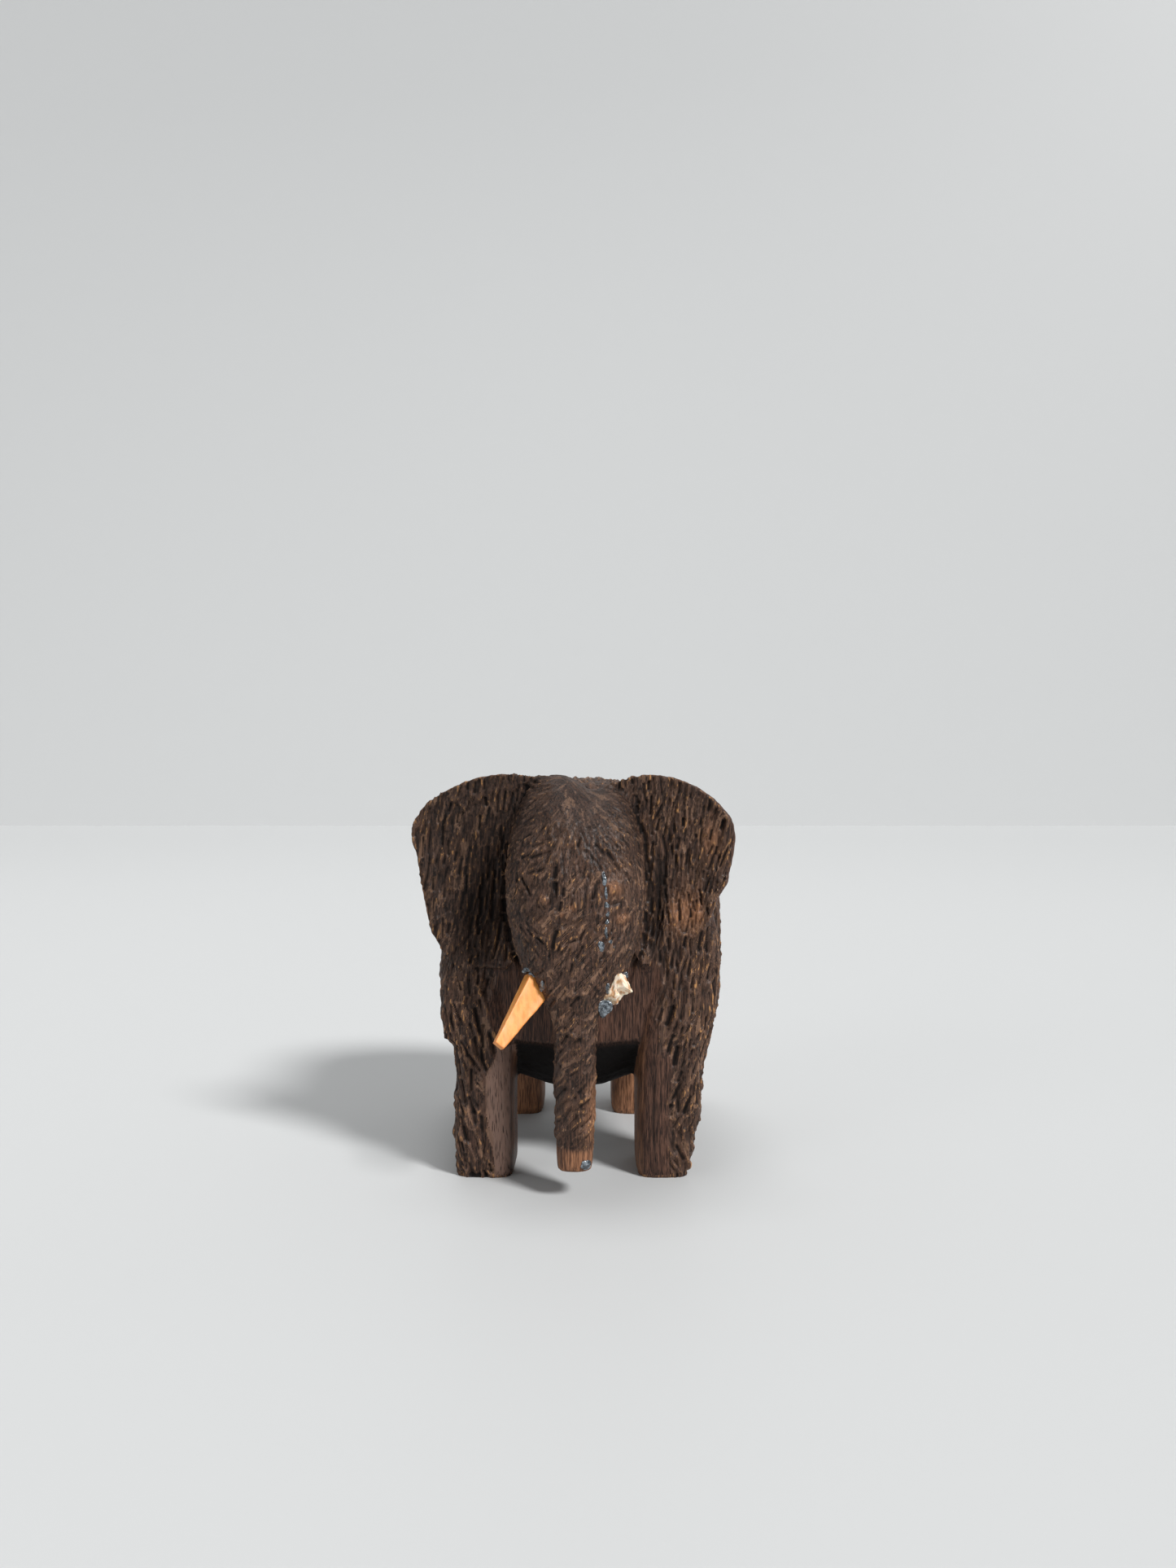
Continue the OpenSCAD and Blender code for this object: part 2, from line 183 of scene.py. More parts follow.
def with_modifiers(mesh, *modifiers):
    """A new mesh: the given one with (type, settings) modifiers applied in turn."""
    holder = bpy.data.objects.new("holder", mesh)
    bpy.context.scene.collection.objects.link(holder)
    for kind, settings in modifiers:
        modifier = holder.modifiers.new(kind.lower(), kind)
        for key, value in settings.items():
            setattr(modifier, key, value)
    result = bpy.data.meshes.new_from_object(holder.evaluated_get(bpy.context.evaluated_depsgraph_get()))
    bpy.data.objects.remove(holder)
    return result


def unwrap(mesh):
    """Gives the mesh a new UV map, OFBake, by smart projection."""
    holder = bpy.data.objects.new("holder", mesh)
    bpy.context.scene.collection.objects.link(holder)
    bpy.context.view_layer.objects.active = holder
    holder.select_set(True)
    while mesh.uv_layers:
        mesh.uv_layers.remove(mesh.uv_layers[0])
    mesh.uv_layers.new(name="OFBake")
    bpy.ops.object.mode_set(mode="EDIT")
    bpy.ops.mesh.select_all(action="SELECT")
    bpy.ops.uv.smart_project(angle_limit=math.radians(66), island_margin=0.003)
    bpy.ops.object.mode_set(mode="OBJECT")
    bpy.data.objects.remove(holder)


# ---- Materials ----


class Nodes:
    """Builds a node tree with short calls."""

    def __init__(self, name):
        self.material = bpy.data.materials.new(name)
        self.material.use_nodes = True
        self.tree = self.material.node_tree
        self.shader = self.tree.nodes["Principled BSDF"]

    def add(self, kind, inputs=(), **settings):
        node = self.tree.nodes.new(kind)
        for key, value in settings.items():
            setattr(node, key, value)
        for key, value in dict(inputs).items():
            self.put(node.inputs[key], value)
        return node

    def put(self, socket, value):
        if isinstance(value, bpy.types.NodeSocket):
            self.tree.links.new(value, socket)
        else:
            socket.default_value = value

    def attribute(self, name):
        return self.add("ShaderNodeAttribute", attribute_name=name).outputs["Fac"]

    def grain(self, across, along, detail=4.0, rough=0.65, seed=0.0):
        """Noise drawn out along Z, as wood grain is; across and along are feature sizes in mm."""
        place = self.add("ShaderNodeTexCoord").outputs["Object"]
        scale = (1 / (across * MM), 1 / (across * MM), 1 / (along * MM))
        inputs = {"Vector": place, "Scale": scale, "Location": (seed, seed, seed)}
        mapped = self.add("ShaderNodeMapping", inputs)
        return self.add(
            "ShaderNodeTexNoise",
            {"Vector": mapped.outputs[0], "Scale": 1.0, "Detail": detail, "Roughness": rough},
        ).outputs["Fac"]

    def math(self, operation, a, b):
        node = self.add("ShaderNodeMath", operation=operation)
        self.put(node.inputs[0], a)
        self.put(node.inputs[1], b)
        return node.outputs[0]

    def between(self, value, low, high, out_low=0.0, out_high=1.0):
        return self.add(
            "ShaderNodeMapRange",
            {"Value": value, "From Min": low, "From Max": high, "To Min": out_low, "To Max": out_high},
            interpolation_type="SMOOTHSTEP",
        ).outputs["Result"]

    def mix(self, share, a, b):
        node = self.add("ShaderNodeMix", data_type="RGBA")
        self.put(node.inputs["Factor"], share)
        self.put(node.inputs[6], a)
        self.put(node.inputs[7], b)
        return node.outputs[2]

    def bump(self, height, strength, distance):
        """A bumpy normal; distance, in mm, is how deep a height of 1 is."""
        inputs = {"Height": height, "Strength": strength, "Distance": distance * MM}
        return self.add("ShaderNodeBump", inputs).outputs["Normal"]


def colour(r, g, b):
    """A colour given as it looks on screen, from 0 to 255."""
    def linear(v):
        v /= 255
        return v / 12.92 if v <= 0.04045 else ((v + 0.055) / 1.055) ** 2.4
    return (linear(r), linear(g), linear(b), 1.0)


def dark_wood():
    """Stained hardwood under a thin satin lacquer."""
    n = Nodes("dark_wood")
    tone, ridge = n.attribute("tone"), n.attribute("ridge")
    hollow, plain = n.attribute("hollow"), n.attribute("plain")
    bare_and_lit, deep = n.attribute("bare_and_lit"), n.attribute("deep")
    streak = n.grain(0.3, 4.0)
    patch = n.grain(5.0, 9.0, detail=3.0, seed=3.0)
    pores = n.grain(0.16, 2.4, detail=2.0, rough=0.4, seed=9.0)

    stain = n.mix(n.between(streak, 0.4, 0.62), colour(34, 23, 18), colour(82, 58, 46))
    stain = n.mix(n.between(patch, 0.45, 0.7, 0.0, 0.5), stain, colour(94, 66, 48))
    chip = n.mix(n.between(tone, 0.3, 1.0, 0.0, 0.6), stain, colour(108, 82, 68))
    chip = n.mix(n.between(tone, 0.84, 0.9, 0.0, 0.6), chip, colour(136, 104, 82))
    planed = n.mix(n.between(streak, 0.38, 0.62), colour(46, 30, 24), colour(94, 66, 53))
    planed = n.mix(n.between(tone, 0.6, 1.0, 0.0, 0.7), planed, colour(132, 106, 94))
    planed = n.mix(n.between(pores, 0.54, 0.66, 0.0, 0.85), planed, colour(22, 13, 11))
    cracks = n.grain(0.2, 1.7, detail=3.0, rough=0.5, seed=15.0)
    split = n.between(cracks, 0.55, 0.63)
    chip = n.mix(n.math("MULTIPLY", split, 0.75), chip, colour(16, 10, 8))
    wood = n.mix(plain, chip, planed)
    # Pale wood where the stain is rubbed off; the same colour paints a few highlights.
    rubbed_and_lit = n.mix(n.between(streak, 0.38, 0.62), colour(100, 66, 46), colour(170, 120, 86))
    wood = n.mix(n.math("MULTIPLY", bare_and_lit, n.between(patch, 0.3, 0.6, 0.55, 1.0)), wood, rubbed_and_lit)
    # Painted highlight: the ridges between the cuts are made lighter, as if they caught the light.
    wood = n.mix(n.between(ridge, 0.3, 1.0, 0.0, 0.35), wood, colour(124, 94, 76))
    # Painted glints: pale flecks on the sharpest ridges, as if they caught the light.
    ridge_glint = n.between(n.grain(0.34, 1.5, detail=2.0, rough=0.5, seed=21.0), 0.54, 0.6)
    ridge_glint = n.math("MULTIPLY", ridge_glint, n.between(patch, 0.4, 0.62, 0.25, 0.95))
    wood = n.mix(n.math("MULTIPLY", n.between(ridge, 0.2, 0.7), ridge_glint), wood, colour(186, 136, 86))
    # Painted shade: the cuts and small hollows are darkened almost to black.
    wood = n.mix(n.between(hollow, 0.12, 0.95, 0.0, 0.94), wood, colour(10, 6, 5))
    # Painted shade: the deep value darkens wide hollows, grooves, the ears, the upper head and the
    # belly, with some pooled stain.
    wood = n.mix(deep, wood, colour(12, 8, 7))
    n.put(n.shader.inputs["Base Color"], wood)
    shade = n.between(n.math("MAXIMUM", hollow, deep), 0.1, 0.7)
    n.put(n.shader.inputs["Roughness"], n.math("MAXIMUM", n.between(streak, 0.3, 0.7, 0.36, 0.6), shade))
    n.shader.inputs["Coat Weight"].default_value = 0.04
    n.shader.inputs["Coat Roughness"].default_value = 0.3
    n.shader.inputs["Specular IOR Level"].default_value = 0.22
    relief = n.math("SUBTRACT", streak, n.math("MULTIPLY", split, 0.5))
    relief = n.math("SUBTRACT", relief, n.between(pores, 0.56, 0.68, 0.0, 0.7))
    n.put(n.shader.inputs["Normal"], n.bump(relief, 0.7, 0.1))
    return n.material


def tusk_wood():
    """Pale, smooth, honey-coloured wood with a faint grain along the tusk."""
    n = Nodes("tusk_wood")
    along = n.attribute("along")
    edge = n.attribute("edge")
    streak = n.grain(0.9, 3.5, detail=3.0)
    fine = n.grain(0.25, 1.6, detail=2.0, seed=4.0)
    wood = n.mix(n.between(streak, 0.3, 0.7), colour(218, 136, 60), colour(232, 160, 84))
    wood = n.mix(n.between(fine, 0.58, 0.75, 0.0, 0.35), wood, colour(190, 108, 48))
    wood = n.mix(n.math("MULTIPLY", edge, 0.55), wood, colour(200, 116, 54))
    wood = n.mix(n.between(along, 0.9, 1.0, 0.0, 0.35), wood, colour(150, 82, 40))
    n.put(n.shader.inputs["Base Color"], wood)
    n.put(n.shader.inputs["Roughness"], n.between(streak, 0.3, 0.7, 0.38, 0.5))
    n.shader.inputs["Subsurface Weight"].default_value = 0.12
    n.shader.inputs["Subsurface Radius"].default_value = (1.0, 0.5, 0.25)
    n.shader.inputs["Subsurface Scale"].default_value = 0.6 * MM
    n.put(n.shader.inputs["Normal"], n.bump(fine, 0.3, 0.04))
    return n.material


def broken_wood():
    """The raw, fibrous end of the broken tusk."""
    n = Nodes("broken_tusk_wood")
    fibre = n.attribute("fibre")
    speck = n.grain(0.35, 0.5, detail=3.0, seed=2.0)
    wood = n.mix(n.between(fibre, 0.2, 0.8), colour(198, 150, 106), colour(240, 224, 200))
    wood = n.mix(n.between(speck, 0.58, 0.72, 0.0, 0.5), wood, colour(168, 116, 76))
    n.put(n.shader.inputs["Base Color"], wood)
    n.shader.inputs["Roughness"].default_value = 0.75
    n.shader.inputs["Subsurface Weight"].default_value = 0.15
    n.shader.inputs["Subsurface Scale"].default_value = 0.4 * MM
    n.put(n.shader.inputs["Normal"], n.bump(speck, 0.5, 0.05))
    return n.material


def dried_glue():
    """Dried glue: mostly clear over the dark wood, milky where it is thick, with a hard gloss; its pale
    bluish white is partly a painted reflection of sky light.
    """
    n = Nodes("dried_glue")
    cloud = n.grain(0.6, 0.6, detail=3.0)
    # Painted reflection, in part: the milky glue is tinted bluish white like reflected sky light.
    tint = n.mix(n.between(cloud, 0.4, 0.7), colour(58, 64, 70), colour(150, 160, 168))
    n.put(n.shader.inputs["Base Color"], tint)
    n.put(n.shader.inputs["Roughness"], n.between(cloud, 0.3, 0.7, 0.06, 0.2))
    n.shader.inputs["Transmission Weight"].default_value = 0.3
    n.shader.inputs["IOR"].default_value = 1.47
    n.shader.inputs["Coat Weight"].default_value = 0.5
    n.shader.inputs["Coat Roughness"].default_value = 0.05
    n.put(n.shader.inputs["Normal"], n.bump(cloud, 0.25, 0.1))
    return n.material


def floor_paint():
    n = Nodes("floor")
    n.shader.inputs["Base Color"].default_value = colour(196, 197, 197)
    n.shader.inputs["Roughness"].default_value = 0.55
    return n.material


# ---- The carved body ----

# Half width of the head at each height, mm.
HEAD_HEIGHTS = (30, 36, 40, 44, 50, 56, 63, 68, 71, 73, 76)
HEAD_HALVES = (4.0, 7.2, 9.6, 11.3, 12.3, 12.5, 11.9, 10.5, 8.6, 6.5, 5.0)


class Surface:
    """Where each point of the carving lies: its region and how it was worked."""

    def __init__(self, co, normal):
        self.co, self.normal = co, normal
        self.x, self.z = co[:, 0], co[:, 2]
        self.back = co[:, 1] - LEG_FRONT
        self.head_half = np.interp(self.z, HEAD_HEIGHTS, HEAD_HALVES)
        wide = np.abs(self.x)
        self.trunk = (self.z < 35) & (wide < 7) & (self.back < -1.5)
        self.face = (self.z >= 33) & (wide < self.head_half + 0.4) & (self.back < 6) & ~self.trunk
        self.ear = (self.z > 35.5) & ~self.face & (self.back < 7.5)
        self.front_leg = (self.z < 30) & (self.back < 19) & (wide > 10) & ~self.trunk
        self.rear_leg = (self.z < 30) & (self.back > 37) & (wide > 6)

    def plain(self):
        """1 where the wood was left smooth: leg insides, chest, belly, ear rims, trunk tip and soles."""
        wide, inward = np.abs(self.x), -np.sign(self.x) * self.normal[:, 0]
        low = 1 - smoothstep(24, 29, self.z)
        inside = smoothstep(0.35, 0.7, inward) * low * (wide < 17)
        ragged = 0.9 * noise(self.co, (3, 3, 5), 31)
        strip_r = (1 - smoothstep(13.0, 13.8, wide + ragged)) * (self.x < 0)
        strip_l = (1 - smoothstep(16.4, 17.8, wide + ragged)) * (self.x > 0)
        facing = smoothstep(0.3, 0.7, -self.normal[:, 1])
        strip = (strip_r + strip_l) * facing * (1 - smoothstep(20, 26, self.z)) * (self.back > -2)
        chest_wide = 15.5 + 2.5 * noise(self.co, (4, 4, 6), 32)
        chest = (1 - smoothstep(chest_wide - 1, chest_wide + 1, wide)) * facing
        chest = chest * (self.back > -1) * (1 - smoothstep(37, 41, self.z))
        under = self.underside()
        tip = self.trunk * (1 - smoothstep(TRUNK_LOW + 3.2, TRUNK_LOW + 4.6, self.z + 0.5 * ragged))
        sole = smoothstep(0.6, 0.9, -self.normal[:, 2]) * (self.z < 1.5)
        rim = self.ear * (1 - smoothstep(0.45, 0.7, np.abs(self.normal[:, 1]))) * (wide > 12)
        rim = rim * smoothstep(43, 48, self.z)
        return np.clip(np.maximum.reduce([inside, strip, chest, under, tip, sole, rim]), 0, 1)

    def strip(self):
        """1 on the smooth flat down the inner part of each front leg's front."""
        wide, facing = np.abs(self.x), smoothstep(0.3, 0.7, -self.normal[:, 1])
        return facing * (wide > 10.5) * (wide < 17) * (self.z < 24) * (self.back > -2) * (self.back < 8)

    def underside(self):
        """1 on the belly, behind and below the flat of the chest."""
        down = smoothstep(0.2, 0.5, -self.normal[:, 2])
        return down * (self.z > 8) * (self.z < 32) * (np.abs(self.x) < 22) * (self.back > 0)

    def lean(self, rng):
        """Angle of each cut from the vertical, in degrees: positive leans right, seen from outside."""
        jitter = rng.normal(0, 1, len(self.x))
        field = 26 * noise(self.co, 13, 41)
        lean = field + 9 * jitter
        crown = np.degrees(np.arctan((self.x - 0.5) / np.minimum(self.z - 76, -2)))
        low_face = np.where((self.x < -3) & (rng.random(len(self.x)) < 0.35), -42, 36)
        face = np.where(self.z > 57, 1.25 * crown, np.where(self.z > 50, 0.6 * crown + 16, low_face))
        lean = np.where(self.face, face + 13 * jitter, lean)
        lean = np.where(self.trunk, 47 + 10 * jitter, lean)
        ear_lean = np.where(self.x < 0, 9, np.interp(self.x, (13, 19, 28), (0, 5, 20)))
        ear_front = self.ear & (self.normal[:, 1] < 0)
        lean = np.where(ear_front, ear_lean + 7 * jitter, lean)
        leg_lean = np.where(self.x < 0, -17, np.where(self.z < 9, -30, 20))
        lean = np.where(self.front_leg, leg_lean + 10 * jitter, lean)
        return np.where(self.rear_leg, 6 + 9 * jitter, lean)

    def sizes(self, rng):
        """Length, width and depth of each cut, mm."""
        count = len(self.x)
        share = rng.random((3, count))
        share[1] **= 2  # many narrow cuts and a few wide ones
        share[2] = 0.5 * (share[1] + share[2])
        length, width, depth = 2.8 + 4.2 * share[0], 0.7 + 1.3 * share[1], 0.3 + 0.5 * share[2]
        for region, lengths, widths, depths in (
            (self.face, (2.0, 4.8), (0.55, 1.2), (0.15, 0.52)),
            (self.trunk, (2.6, 6.0), (0.8, 2.2), (0.2, 0.66)),
            (self.ear, (2.2, 7.0), (0.55, 1.4), (0.2, 0.85)),
            (self.front_leg, (2.6, 8.0), (0.65, 2.2), (0.26, 1.05)),
        ):
            length = np.where(region, lengths[0] + (lengths[1] - lengths[0]) * share[0], length)
            width = np.where(region, widths[0] + (widths[1] - widths[0]) * share[1], width)
            depth = np.where(region, depths[0] + (depths[1] - depths[0]) * share[2], depth)
        return length, width, depth


def shaped(co):
    """The hand-carved unevenness of the whole figure: its two sides aren't mirror images."""
    x, y, z = co.T.copy()
    back = y - LEG_FRONT
    barrel = smoothstep(1, 5, back) * smoothstep(15, 26, z)
    x = x + barrel * (0.8 + 0.6 * smoothstep(10, 20, co[:, 0]))
    fore = 1 - smoothstep(18, 24, back)
    outward = smoothstep(14, 22, co[:, 0]) * fore
    heights = (0, 4, 7, 10, 14, 25, 31, 38)
    x = x + outward * np.interp(z, heights, (-0.8, -0.4, 0, 0.9, 1.0, 0.45, 0.5, 0))
    outward = smoothstep(14, 22, -co[:, 0]) * fore
    x = x - outward * np.interp(z, (0, 8, 17, 23.6, 25.0, 32, 42), (0.1, 0.4, -0.4, -0.3, 1.7, 1.2, 0))
    ears = smoothstep(62, 70, z) * (1 - smoothstep(6, 10, back)) * (np.abs(co[:, 0]) < 32)
    notch = np.exp(-(((co[:, 0] - 2.4) / 3.2) ** 2))
    z = z + ears * (1.1 * np.exp(-(((co[:, 0] + 5) / 5.5) ** 2)) - 1.9 * notch)
    left_ear = (co[:, 0] > 14) * smoothstep(36, 44, z) * (1 - smoothstep(6, 9, back))
    inward = np.interp(z, (40, 46, 52, 55, 58, 63, 68, 72), (0.0, 0.6, 0.6, 1.2, 1.4, 1.4, 1.3, 0.9))
    x = x - left_ear * smoothstep(14, 28, co[:, 0]) * inward
    # The left ear ends higher than the right one.
    raised = smoothstep(13, 17, co[:, 0]) * smoothstep(29, 41, z) * (1 - smoothstep(42, 58, z))
    z = z + 5.5 * raised * (back < 9)
    right_ear = (co[:, 0] < -14) * smoothstep(36, 44, z) * (1 - smoothstep(6, 9, back))
    heights = (40, 43, 46, 50, 54, 59, 64, 68, 72)
    spread = np.interp(z, heights, (1.0, 1.3, 1.2, 0.8, 0.5, 0.3, 0.7, 0.8, 0.2))
    x = x - right_ear * smoothstep(14, 28, -co[:, 0]) * spread
    narrow = (np.abs(co[:, 0]) < 7) * (back < -1.5) * hill(z, 27, 9)
    x = x * (1 - 0.06 * narrow)
    # The belly is rounder than the block between the legs.
    under = smoothstep(0, 13, np.abs(co[:, 0])) * hill(z, 17, 9) * smoothstep(1, 4, back)
    z = z + 2.0 * under * (1 - smoothstep(30, 38, back)) * (np.abs(co[:, 0]) < 16)
    for side, slide, rise in ((-1, 0.75, -0.7), (1, 0.36, 1.3)):
        near = np.exp(-(((co[:, 0] - side * EYE_X) ** 2 + (co[:, 2] - EYE_Z) ** 2) / 9)) * (back < -2)
        x, z = x + slide * near, z + rise * near
    return np.stack([x, y, z], 1)


def cut_frames(normal, lean):
    """The direction of each cut on the surface and the direction across it."""
    up = np.array([0.0, 0.0, 1.0])
    side = np.stack([-normal[:, 1], normal[:, 0], np.zeros(len(normal))], 1)
    flat = smoothstep(0.75, 0.97, np.abs(normal[:, 2]))[:, None]
    side = side * (1 - flat) + np.array([1.0, 0.0, 0.0]) * flat
    rise = up * (1 - flat) + np.array([0.0, 1.0, 0.0]) * flat
    angle = np.radians(lean)[:, None]
    along = side * np.sin(angle) + rise * np.cos(angle)
    along -= normal * np.sum(along * normal, 1)[:, None]
    along /= np.maximum(np.linalg.norm(along, axis=1), 1e-6)[:, None]
    return along, np.cross(normal, along)


def apply_cuts(co, normal, tree, cuts):
    """The deepest cut at each vertex: its depth in mm and its tone. A cut is steep on one side."""
    depth, tone = np.zeros(len(co)), np.full(len(co), 0.3)
    for place, facing, along, across, length, width, deep, steep, shade in zip(*cuts):
        near = tree.find_range(Vector(place), length / 2)
        index = np.fromiter((hit[1] for hit in near), np.int64, len(near))
        off = co[index] - place
        a, c, h = off @ along / (length / 2), off @ across / (width / 2), off @ facing
        hit = (np.abs(a) < 1) & (np.abs(c) < 1) & (np.abs(h) < 1.4) & (normal[index] @ facing > 0.1)
        index, a, c = index[hit], a[hit], c[hit]
        ramp = np.where(c < steep, (c + 1) / (1 + steep), (1 - c) / (1 - steep))
        value = deep * np.minimum(1, 2.2 * (1 - np.abs(a))) * ramp * (1.6 - 0.6 * ramp)
        wins = value > depth[index]
        depth[index[wins]] = value[wins]
        tone[index[wins]] = shade
    return depth, tone


# Cuts that shape the eyes and brows, on the front of the face: x and z of both ends, width and
# depth, mm.
FACE_CUTS = (
    (-9.8, 61.0, -4.6, 62.4, 1.3, 0.5),
    (-9.4, 58.7, -4.2, 60.4, 1.4, 0.6),
    (-8.0, 56.4, -5.0, 57.6, 1.2, 0.5),
    (-3.2, 57.4, -4.2, 50.6, 1.8, 0.8),
    (-2.4, 54.6, -3.0, 50.0, 1.4, 0.6),
    (-4.2, 50.6, -8.2, 49.8, 1.5, 0.6),
    (-11.2, 60.0, -10.4, 55.2, 1.4, 0.6),
    (-9.4, 55.4, -8.0, 53.2, 1.2, 0.6),
    (-9.8, 47.2, -4.6, 43.4, 1.1, 0.5),
    (-10.4, 50.0, -6.2, 45.4, 1.1, 0.4),
    (-2.2, 49.6, -4.6, 42.4, 1.4, 0.6),
    (3.8, 61.6, 7.6, 57.0, 1.4, 0.6),
    (5.6, 62.4, 9.2, 58.6, 1.2, 0.4),
    (2.4, 60.4, 4.4, 57.2, 1.2, 0.5),
    (8.0, 57.6, 9.8, 54.8, 1.2, 0.5),
    (4.4, 55.4, 2.6, 50.6, 1.2, 0.5),
    (8.6, 51.6, 5.0, 50.6, 1.3, 0.5),
    (9.2, 61.0, 10.8, 58.4, 1.1, 0.4),
    (9.4, 48.0, 6.2, 44.4, 1.2, 0.4),
)
# The deep line between the head and the ears, in the same kind of rows.
HEAD_LINE = (
    (-8.6, 71.5, -12.2, 61.0, 1.9, 0.9),
    (-12.2, 61.0, -13.4, 52.0, 2.0, 1.1),
    (-13.4, 52.0, -12.4, 43.0, 2.0, 1.1),
    (-12.4, 43.0, -9.6, 36.5, 1.8, 0.9),
    (10.6, 70.0, 13.0, 61.0, 1.6, 0.8),
    (13.0, 61.0, 13.6, 52.0, 1.7, 0.9),
    (13.6, 52.0, 12.8, 43.0, 1.7, 0.9),
    (12.8, 43.0, 9.8, 36.5, 1.6, 0.8),
)
# The lower edge of the left ear, where it stops on the shoulder, in the same kind of rows.
EAR_STEP = ((17.2, 45.3, 21.6, 44.6, 1.3, 0.55), (21.2, 44.5, 25.2, 43.5, 1.3, 0.4))
# Long grooves of the ears beside the head, made into rows like those of FACE_CUTS.
EAR_CUTS = tuple(
    (x, top, x + drift, low, 0.95, 0.85)
    for x, top, low, drift in (
        (12.7, 59.0, 47.0, -0.3),
        (13.9, 61.0, 44.5, 0.1),
        (15.3, 56.0, 43.5, 0.2),
        (16.6, 60.0, 44.6, 0.4),
        (19.2, 53.0, 45.4, 0.2),
        (21.2, 52.0, 45.6, 0.3),
        (22.8, 52.6, 46.0, 1.8),
        (-13.4, 66.0, 53.0, -0.8),
        (-14.8, 58.0, 44.5, -0.9),
        (-17.2, 56.0, 42.5, -1.4),
        (-19.6, 60.0, 47.0, -1.8),
    )
)


def drawn_cuts(co, normal, rows, rng):
    """Chains of short cuts along each drawn line, on the surface that faces forward."""
    front = np.flatnonzero((normal[:, 1] < -0.25) & (co[:, 1] - LEG_FRONT < 6))
    tree = KDTree(len(front))
    for k in front:
        tree.insert(Vector((co[k, 0], co[k, 2], 0)), int(k))
    tree.balance()
    made = []
    for x0, z0, x1, z1, width, deep in rows:
        steps = max(2, int(math.hypot(x1 - x0, z1 - z0) / 1.6))
        for k in range(steps):
            share = (k + 0.5) / steps
            x, z = np.array((x0 + (x1 - x0) * share, z0 + (z1 - z0) * share)) + rng.normal(0, 0.26, 2)
            index = tree.find(Vector((x, z, 0)))[1]
            facing = normal[index]
            along = np.array([x1 - x0, 0.0, z1 - z0])
            along -= facing * (along @ facing)
            along /= np.linalg.norm(along)
            across = np.cross(facing, along)
            depth = 1.05 * deep * (0.75 + 0.25 * math.sin(math.pi * share))
            length = rng.uniform(2.2, 3.8)
            made.append((co[index], facing, along, across, length, width, depth, 0.2, 0.1))
    return [np.array(column) for column in zip(*made)]


def scattered_cuts(co, normal, surface, rng):
    """Chisel cuts all over the wood that wasn't left plain."""
    rough = 1 - surface.plain()
    weight = rough * np.where(surface.ear | surface.face, 1.5, 1.0)
    centres = rng.choice(len(co), CUT_COUNT, replace=False, p=weight / weight.sum())
    here = Surface(co[centres], normal[centres])
    along, across = cut_frames(here.normal, here.lean(rng))
    length, width, deep = here.sizes(rng)
    crown = here.face * smoothstep(62, 68, here.z) * (1 - smoothstep(4, 8, np.abs(here.x - 1)))
    deep = deep * (0.35 + 0.65 * rough[centres]) * (1 - 0.6 * crown)
    # Some cuts on the lower face cross the others.
    crossing = here.face & (here.z < 56) & (rng.random(CUT_COUNT) < 0.05)
    turn = np.radians(np.where(crossing, rng.uniform(-110, -50, CUT_COUNT), 0))[:, None]
    cos, sin = np.cos(turn), np.sin(turn)
    along, across = along * cos + across * sin, across * cos - along * sin
    deep = np.where(crossing, 0.8 * deep, deep)
    steep = rng.choice((-0.4, 0.4), CUT_COUNT, p=(0.3, 0.7))
    return [here.co, here.normal, along, across, length, width, deep, steep, rng.random(CUT_COUNT)]


def base_block():
    """The CAD body remeshed, rounded where the wood flows and given its hand-made unevenness."""
    mesh = with_modifiers(
        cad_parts["carved_body"].data.copy(),
        ("REMESH", {"mode": "VOXEL", "voxel_size": BASE_VOXEL * MM}),
    )
    co, _ = read_mesh(mesh)
    back = co[:, 1] - LEG_FRONT
    # The shoulders and haunches flow into the barrel, while the legs, head and tail keep their edges.
    near_tail = (back > 56) * (1 - smoothstep(4, 6, np.abs(co[:, 0])))
    flow = smoothstep(5, 10, back) * smoothstep(16, 26, co[:, 2]) * (1 - near_tail)
    # The left ear's lobe fades into the shoulder.
    flow = np.maximum(flow, 0.9 * spot(co, 14.5, 39, 3.5, 4) * (back < 9))
    links = mesh_links(mesh)
    co = soften(links, co, flow, FLOW_PASSES)
    co = shaped(soften(links, co, np.ones(len(co)), 3))
    write_mesh(mesh, co)
    # How far each point lies in a wide hollow: shade is painted there, together with the stain that
    # gathers in hollows.
    _, normal = read_mesh(mesh)
    far = soften(links, co, np.full(len(co), 2.0), WIDE_PASSES)
    sunk = np.clip(np.sum((far - co) * normal, 1) / 0.9 - 0.15, 0, 1)
    add_attribute(mesh, "sunk", sunk)
    unwrap(mesh)
    return with_modifiers(mesh, ("SUBSURF", {"levels": 1, "render_levels": 1}))


def make_cuts(surface, rng):
    """Every cut, scattered or drawn: the depth in mm and the tone that they leave at each vertex."""
    co, normal = surface.co, surface.normal
    tree = KDTree(len(co))
    for k, place in enumerate(co.tolist()):
        tree.insert(place, k)
    tree.balance()
    scattered = scattered_cuts(co, normal, surface, rng)
    drawn = drawn_cuts(co, normal, FACE_CUTS + HEAD_LINE + EAR_STEP + EAR_CUTS, rng)
    cuts = [np.concatenate([a, b]) for a, b in zip(scattered, drawn)]
    return apply_cuts(co, normal, tree, cuts)


def bosses(surface):
    """The lift, in mm, of the eyes and the two smaller bosses: each stands in a shallow ring."""
    lift = np.zeros(len(surface.x))
    for x, z, size in BOSSES:
        out = np.hypot(surface.x - x, surface.z - z) / size
        boss = 0.16 * (1 - smoothstep(0.3, 1.4, out)) - 0.34 * hill(out, 1.9, 0.9)
        lift += size * boss * (surface.back < -4)
    return lift


